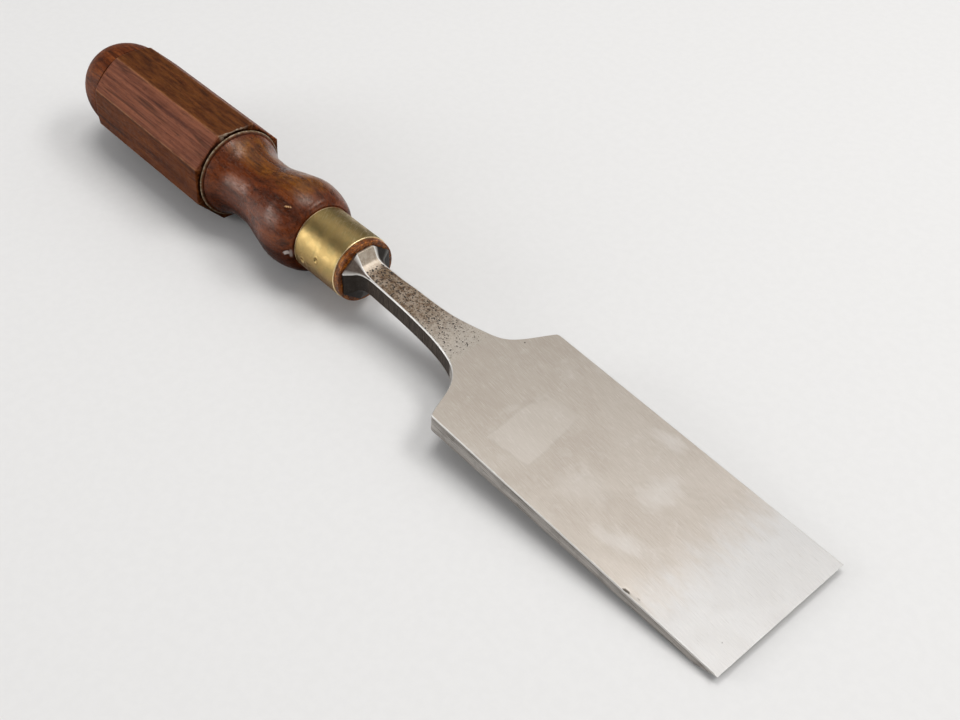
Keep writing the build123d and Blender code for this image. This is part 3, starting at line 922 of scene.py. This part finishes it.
def brass():
    mat = Shader("brass_satin")
    point = mat.attr("fr", "Vector")
    x, y, z = point.split()
    angle = mat.math("ARCTAN2", z, y)
    lines = mat.vector(x * 5.0, angle * 1.2).noise(detail=3, rough=0.6)
    cloud = (point * (0.16, 0.16, 0.16)).noise(detail=4, rough=0.6, distortion=0.5)
    speck = point.noise(scale=1.6, detail=4, rough=0.65)
    # fine slanting scratches on the upper side
    hatch = mat.vector(x * 3.2 + angle * 22.0,
                       x * 0.25 + angle * -2.0).noise(detail=3, rough=0.7)
    # tarnish is heaviest on the upper left
    upper = angle.fade(over=(0.9, 2.3), low=1.0, high=0.0)
    tarnish = (cloud.fade(over=(0.32, 0.62)) * (upper * 0.62 + 0.26)
               + speck.fade(over=(0.54, 0.72)) * 0.22).clamped()
    base = tarnish.between((0.56, 0.394, 0.160), (0.238, 0.176, 0.058))
    olive = (point * (0.22, 0.22, 0.22)).noise(detail=3, rough=0.55, distortion=0.7)
    base = base.coat((0.330, 0.275, 0.120), olive.fade(over=(0.48, 0.66)) * 0.42)
    base = base.coat((0.64, 0.53, 0.32), hatch.fade(over=(0.53, 0.61)) * upper)
    base = base.coat((0.20, 0.14, 0.06), mat.attr("mark") * 0.35)
    # painted shade: darker and browner where the ferrule faces the bench
    base = base.shaded(mat.facing_up(over=(-0.45, 0.42), dark=0.0).between(
        (0.44, 0.30, 0.19), (0.92, 0.91, 0.89)))
    # painted highlight: the rims are coloured bright in place of their edge glints
    base = base.coat((1.0, 0.80, 0.48), mat.attr("rim_glint").fade(over=(0.3, 0.8), high=0.85))
    relief = lines * 0.7 + speck * 0.6 + hatch * upper * 0.8
    return mat.finish(mat.principled(
        Base_Color=base, Metallic=1.0,
        Roughness=cloud.fade(over=(0.3, 0.7), low=0.37, high=0.47) + tarnish * 0.08,
        Normal=relief.bump(distance=0.00003, strength=0.55)))


def leather():
    mat = Shader("leather_layered")
    point = mat.attr("fr", "Vector")
    blotch = point.noise(scale=0.55, detail=4, rough=0.6, distortion=0.4)
    fine = (point * (5.5, 1.7, 1.7)).noise(detail=4, rough=0.65)
    cell = mat.node("ShaderNodeTexVoronoi", {"Vector": point * (1.7, 1.2, 1.2), "Scale": 1.0},
                    feature="DISTANCE_TO_EDGE")
    base = blotch.ramp([(0.30, (0.040, 0.010, 0.002)), (0.45, (0.165, 0.043, 0.005)),
                        (0.57, (0.430, 0.135, 0.013)), (0.72, (0.700, 0.300, 0.055))])
    # dark fibres, seams between layers, creases
    base = base.coat((0.080, 0.020, 0.004), fine.fade(over=(0.60, 0.40)) * 0.50)
    base = base.coat((0.035, 0.010, 0.003), mat.attr("layer") * 0.60)
    base = base.coat((0.05, 0.014, 0.004), cell.fade(over=(0.10, 0.0), high=0.35))
    # painted shade: darker and browner where the washer faces the bench
    base = base.shaded(mat.facing_up(over=(-0.6, 0.4), dark=0.0).between(
        (0.42, 0.34, 0.26), (0.97, 0.90, 0.80)))
    relief = fine * 1.0 + cell.fade(over=(0.0, 0.22), high=0.8)
    return mat.finish(mat.principled(
        Base_Color=base, Roughness=fine.fade(over=(0.35, 0.65), low=0.22, high=0.42),
        Normal=relief.bump(distance=0.00012, strength=0.6), IOR=1.5,
        Specular_IOR_Level=0.46, Specular_Tint=(1.0, 0.82, 0.66)))


def steel():
    mat = Shader("steel_ground")
    point = mat.attr("fr", "Vector")
    x, y, z = point.split()
    side, neck, bevel = mat.attr("zone", "Vector").split()
    # lengthwise grinding lines, a little askew, on the flat
    lines = mat.vector(x * 0.12 + y * -0.01, y * 3.4 + x * 0.42).noise(detail=5, rough=0.72)
    fine = mat.vector(x * 0.22, y * 7.5 + x * 0.55, 9.0).noise(rough=0.6)
    broad = mat.vector(x * 0.05, y * 1.3, 4.0).noise(detail=3, rough=0.6)
    # upright lines on the neck's sides, lengthwise on the blade's and on the bevel
    cross = mat.vector(x * 5.0 + z * 0.4, z * 0.15).noise(detail=4, rough=0.75)
    edge = mat.vector(x * 0.07, z * 3.6 + x * 0.06, 2.0).noise(detail=5, rough=0.7)
    bevel_lines = mat.vector(x * 0.5, y * 4.5).noise(detail=4, rough=0.7)
    stain = (point * (0.045, 0.06, 0.06)).noise(detail=4, rough=0.6, distortion=0.8)
    cloud = (point + (40.0, 7.0, 3.0)).noise(scale=0.16, detail=5, rough=0.62, distortion=0.3)
    wisp = (point * (0.11, 0.34, 0.2) + (3.0, 11.0, 0.0)).noise(detail=5, rough=0.68,
                                                               distortion=0.3)

    def turned(centre, angle):
        """Coordinates about a centre on the flat, in axes turned by the angle."""
        cos, sin = math.cos(angle), math.sin(angle)
        from_x, from_y = x + -centre[0], y + -centre[1]
        return from_x * cos + from_y * sin, from_x * -sin + from_y * cos

    def patch(centre, half, angle, soft, wobble, taper=0.0):
        """Soft-edged slanted rectangle."""
        along, across = turned(centre, angle)
        shake = (point.noise(scale=0.35, detail=3) + -0.5) * wobble
        along = abs(along) + across.max(0.0) * taper
        return ((along + shake).fade(over=(half[0] + soft, half[0] - soft))
                * (abs(across) + shake).fade(over=(half[1] + soft, half[1] - soft)))

    def smudge(centre, radii, angle):
        """Feathered oval, broken up by wisps."""
        along, across = turned(centre, angle)
        along, across = along * (1.0 / radii[0]), across * (1.0 / radii[1])
        return (along * along + across * across + (wisp + -0.5) * -3.4).fade(over=(1.25, -0.1))

    # the flat: warm near the shoulder, whiter at the honed end
    flat = x.fade(over=(0.0, 80.0), interpolation="LINEAR").between(
        (0.408, 0.360, 0.308), (0.482, 0.432, 0.382))
    honed = (x + (wisp + -0.5) * 22.0).fade(over=(72.0, 92.0))
    flat = flat.coat((0.540, 0.535, 0.530), honed * 0.90)
    calm = 1.0 - honed * 0.75
    flat = flat.coat((0.34, 0.285, 0.235), stain.fade(over=(0.40, 0.66), high=0.26) * calm)
    flat = flat.coat((0.62, 0.60, 0.575), cloud.fade(over=(0.54, 0.70), high=0.16) * calm)
    # light and dark grinding lines
    flat = flat.coat((0.60, 0.57, 0.53), lines.fade(over=(0.40, 0.70), high=0.26))
    flat = flat.coat((0.30, 0.26, 0.22), lines.fade(over=(0.46, 0.24), high=0.30))
    flat = flat.coat((0.72, 0.69, 0.65), fine.fade(over=(0.58, 0.70), high=0.34))
    flat = flat.coat((0.27, 0.24, 0.205), fine.fade(over=(0.42, 0.32), high=0.26))
    # pale rectangle with a dark outline, a dark stroke beside it, pale smudges
    pale = patch((22.3, -5.4), half=(7.6, 12.2), angle=0.10, soft=0.8, wobble=1.8, taper=0.08)
    fade = y.fade(over=(12.0, -14.0), low=0.45)
    flat = flat.coat((0.66, 0.635, 0.60), pale * fade * 0.17)
    outline = pale * (1.0 - pale) * 4.0
    flat = flat.coat((0.25, 0.21, 0.17), outline * fade * 0.10)
    stroke = patch((15.2, 1.2), half=(0.9, 4.0), angle=-0.35, soft=0.7, wobble=2.0)
    flat = flat.coat((0.28, 0.23, 0.18), stroke * 0.12)
    for centre, radii, angle, amount in (((66.0, -14.5), (10.0, 4.0), 0.35, 0.24),
                                         ((61.0, 5.0), (6.0, 8.0), -0.2, 0.20),
                                         ((50.0, 20.5), (6.5, 3.0), 0.1, 0.22),
                                         ((46.0, -10.0), (8.0, 7.0), 0.2, 0.10)):
        flat = flat.coat((0.69, 0.685, 0.67), smudge(centre, radii, angle) * amount)
    # the narrow sides: lengthwise lines, a lighter band along the middle
    thickness = x.fade(over=(0.0, 101.0), low=6.4, high=3.05, interpolation="LINEAR")
    depth = z * -1.0 / thickness
    band = (1.0 - abs((depth + -0.58) * 2.6)).clamped()
    sides = edge.fade(over=(0.38, 0.62)).between((0.165, 0.148, 0.132), (0.52, 0.485, 0.45))
    sides = sides.coat((0.68, 0.65, 0.615), band * 0.50)
    sides = sides.coat((0.075, 0.066, 0.058), edge.fade(over=(0.46, 0.34), high=0.75))
    sides = sides.coat((0.16, 0.14, 0.12), cloud.fade(over=(0.52, 0.66), high=0.35))
    neck_sides = cross.fade(over=(0.40, 0.64)).between((0.034, 0.025, 0.019),
                                                       (0.128, 0.101, 0.082))
    sides = neck.between(sides, neck_sides)
    # neck top: tan metal, rusting to brown towards the bolster, speckled with pits
    neck_top = x.fade(over=(-16.0, -40.0)).between((0.460, 0.418, 0.365),
                                                   (0.270, 0.200, 0.135))
    neck_top = neck_top.coat((0.50, 0.44, 0.37), cloud.fade(over=(0.38, 0.66), high=0.45))
    rust = point.noise(scale=0.75, detail=5, rough=0.7, distortion=0.3)
    neck_top = neck_top.coat((0.125, 0.070, 0.038), rust.fade(over=(0.44, 0.60))
                             * x.fade(over=(-14.0, -40.0), low=0.10, high=0.85))
    spots = (point + (5.0, 0.0, 0.0)).noise(scale=1.9, detail=3, rough=0.6)
    small = (point + (0.0, 9.0, 0.0)).noise(scale=3.6, rough=0.6)
    spots = (spots.fade(over=(0.60, 0.66)) * x.fade(over=(-12.0, -34.0), low=0.45, high=0.85)
             ).max(small.fade(over=(0.62, 0.70)) * 0.75)
    neck_top = neck_top.coat((0.036, 0.021, 0.013), spots)
    polished = rust.fade(over=(0.46, 0.60), high=0.60).between((0.470, 0.405, 0.330),
                                                               (0.30, 0.235, 0.180))
    neck_top = neck_top.coat(polished, x.fade(over=(-54.3, -57.6)))
    base = neck.between(flat, neck_top)
    base = base.coat(bevel_lines.fade(over=(0.3, 0.7)).between(
        (0.44, 0.42, 0.40), (0.66, 0.65, 0.63)), bevel)
    base = base.coat(sides, side)
    # dark pits and nick; painted highlight: the cut edges are coloured bright
    pit = mat.attr("pit").fade(over=(0.18, 0.50))
    base = base.coat((0.020, 0.012, 0.008), pit * 0.96)
    base = base.coat((0.060, 0.048, 0.038), mat.attr("nick").fade(over=(0.2, 0.65), high=0.9))
    base = base.coat((0.72, 0.70, 0.665),
                     mat.attr("edge_glint") * (1.0 - x.fade(over=(-54.0, -57.5))))
    # facets of the bolster beside the bright top one are dark scale from forging with painted
    # shade: each side gets its own brightness, the diagonals lightest
    flank_scale_and_shade = mat.attr("flank_scale_and_shade")
    scale_and_shade = flank_scale_and_shade.fade(over=(0.45, 0.9)).between((0.030, 0.023, 0.018), (0.178, 0.138, 0.112))
    bright = flank_scale_and_shade.fade(over=(0.45, 0.9)).between((0.060, 0.049, 0.041), (0.33, 0.272, 0.230))
    scale_and_shade = scale_and_shade.coat(bright, rust.fade(over=(0.42, 0.66), high=0.45))
    base = base.coat(scale_and_shade, flank_scale_and_shade.fade(over=(0.05, 0.33)))
    # painted shade: the bolster's left is coloured near black; painted highlight: its upper
    # corners are coloured bright
    base = base.coat((0.014, 0.011, 0.009),
                     x.fade(over=(-56.2, -58.4)) * y.fade(over=(3.1, 4.2)) * 0.94)
    # painted highlight on the bolster's upper corners
    base = base.coat((0.93, 0.90, 0.85), mat.attr("corner") * 0.90)
    # painted shade: darker where the steel faces the bench
    base = base.shaded(mat.facing_up(over=(-0.5, 0.05), dark=0.6))
    relief = (lines * (1.0 - side) + fine * 0.6 + broad * 0.35 + cross * side * (neck * 2.0)
              + edge * side * 1.2 - spots * neck * 0.7)
    rough = (lines.fade(over=(0.3, 0.7), low=0.42, high=0.50)
             + stain.fade(over=(0.4, 0.65)) * 0.04 + side.max(pit) * 0.10)
    # less metallic on the flat, in pits and spots, on the scale from forging with its painted
    # shade, and on the corners with their painted highlight
    plain = ((1.0 - neck) * (1.0 - side)).clamped()
    metal = (1.0 - plain * 0.22 - pit * 0.7 - spots * neck * 0.5).clamped()
    metal = (metal - flank_scale_and_shade.fade(over=(0.05, 0.33)) * 0.25).clamped()
    metal = (metal - mat.attr("corner") * 0.6).clamped()
    return mat.finish(mat.principled(
        Base_Color=base, Metallic=metal, Roughness=rough,
        Normal=relief.bump(distance=0.000030, strength=0.45)))


def paper():
    mat = Shader("floor_pale")
    point = mat.node("ShaderNodeTexCoord", output="Object")
    grain = point.noise(scale=320.0, detail=3, rough=0.6)
    sheet = mat.principled(
        Base_Color=grain.fade(over=(0.35, 0.65)).between((0.712, 0.706, 0.696),
                                                         (0.724, 0.718, 0.708)),
        Roughness=0.8, Normal=grain.bump(distance=0.00005, strength=0.12))
    # the sheet runs out into an even backdrop, as the camera sees it
    away = mat.node("ShaderNodeVectorMath", {0: point * (1, 1, 0)}, "Value",
                    operation="LENGTH")
    seen = mat.node("ShaderNodeLightPath", output="Is Camera Ray")
    glow = mat.node("ShaderNodeEmission", {"Color": (0.765, 0.760, 0.750), "Strength": 1.0})
    return mat.finish(mat.node("ShaderNodeMixShader", {
        0: away.fade(over=(0.32, 0.85)) * seen, 1: sheet, 2: glow}))


# ================================================================== pieces
pieces = [build_handle(), build_ferrule(), build_washer(), build_blade()]
for piece, material, node_name, slot_name in zip(
        pieces, (wood, brass, leather, steel),
        ("handle", "ferrule", "leather_washer", "blade"),
        ("hardwood", "brass", "leather", "steel")):
    piece.data.materials.append(material())
    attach(piece, "root")
    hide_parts(node_name)

# ================================================================== studio
bpy.ops.mesh.primitive_grid_add(x_subdivisions=2, y_subdivisions=2, size=24.0,
                                location=(0, 0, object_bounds()[0].z - 0.00005))
floor = bpy.context.object
floor.name = "floor"
floor.data.materials.append(paper())

LIGHT_AIM = Vector((0.03, 0, 0.01))
# name, azimuth and elevation (degrees), distance, width, height (m), watts, colour
SOFTBOXES = [("key", 127, 78, 1.4, 0.70, 0.52, 6.9, (1.0, 0.99, 0.98)),
             ("back", 112, 54, 1.5, 1.7, 1.3, 2.5, (1, 1, 1)),
             ("left", -133, 16, 1.3, 0.74, 0.55, 5.6, (0.97, 0.98, 1.0)),
             ("front", 54, 53, 1.4, 0.58, 0.34, 5.2, (1, 1, 1)),
             ("low", 27, 15, 1.4, 0.5, 0.35, 1.6, (1, 1, 1)),
             ("tip", 24, 50, 1.4, 0.42, 0.40, 2.6, (1.0, 0.985, 0.96))]
for name, azimuth, elevation, distance, wide, tall, power, colour in SOFTBOXES:
    a, e = math.radians(azimuth), math.radians(elevation)
    direction = Vector((math.cos(a) * math.cos(e), math.sin(a) * math.cos(e), math.sin(e)))
    light = bpy.data.lights.new(name, "AREA")
    light.shape, light.size, light.size_y = "RECTANGLE", wide, tall
    light.energy, light.color = power, colour
    softbox = bpy.data.objects.new(name, light)
    softbox.location = LIGHT_AIM + direction * distance
    softbox.rotation_mode = "QUATERNION"
    softbox.rotation_quaternion = direction.to_track_quat("Z", "Y")
    bpy.context.scene.collection.objects.link(softbox)

# world strength: the far walls are darker in gloss, the backdrop bright to the camera
DIFFUSE_LEVEL, GLOSS_LEVEL, CAMERA_LEVEL = 0.44, 0.12, 0.905
world = bpy.data.worlds.new("studio")
bpy.context.scene.world = world
world.use_nodes = True
nodes, links = world.node_tree.nodes, world.node_tree.links
sky = nodes["Background"]
sky.inputs[0].default_value = (0.84, 0.84, 0.85, 1)
path = nodes.new("ShaderNodeLightPath")
level = nodes.new("ShaderNodeMapRange")
level.inputs[3].default_value, level.inputs[4].default_value = DIFFUSE_LEVEL, GLOSS_LEVEL
links.new(path.outputs["Is Glossy Ray"], level.inputs[0])
backdrop = nodes.new("ShaderNodeMix")
backdrop.data_type = "FLOAT"
backdrop.inputs[3].default_value = CAMERA_LEVEL
links.new(path.outputs["Is Camera Ray"], backdrop.inputs[0])
links.new(level.outputs[0], backdrop.inputs[2])
links.new(backdrop.outputs[0], sky.inputs[1])

# ================================================================== camera
# rows: the camera's right, down and ahead in the blade's axes
CAMERA_AXES = np.array([[0.6671023569872407, 0.7429050602309845, 0.05537613913288905],
                        [0.5731005745761929, -0.4642892467262047, -0.6752712246163395],
                        [-0.4759518638712378, 0.4822111227020906, -0.7354877676888201]])
# the shoulder as seen from the camera: right, down, ahead
SHOULDER_SEEN = np.array([4.775432126365944, 3.73475905683509, 376.0143473661997])
eye = from_blade(-CAMERA_AXES.T @ SHOULDER_SEEN)
right, down, ahead = CAMERA_AXES @ BLADE_AXES
camera_data = bpy.data.cameras.new("camera")
camera_data.sensor_width = 36.0
camera_data.lens = 48.17027625
camera_data.clip_start, camera_data.clip_end = 0.01, 20.0
camera = bpy.data.objects.new("camera", camera_data)
turn = Matrix(np.stack([right, -down, -ahead], axis=1).tolist()).to_4x4()
camera.matrix_world = Matrix.Translation(Vector(eye)) @ turn
bpy.context.scene.collection.objects.link(camera)
bpy.context.scene.camera = camera
bpy.context.scene.view_settings.view_transform = "Standard"
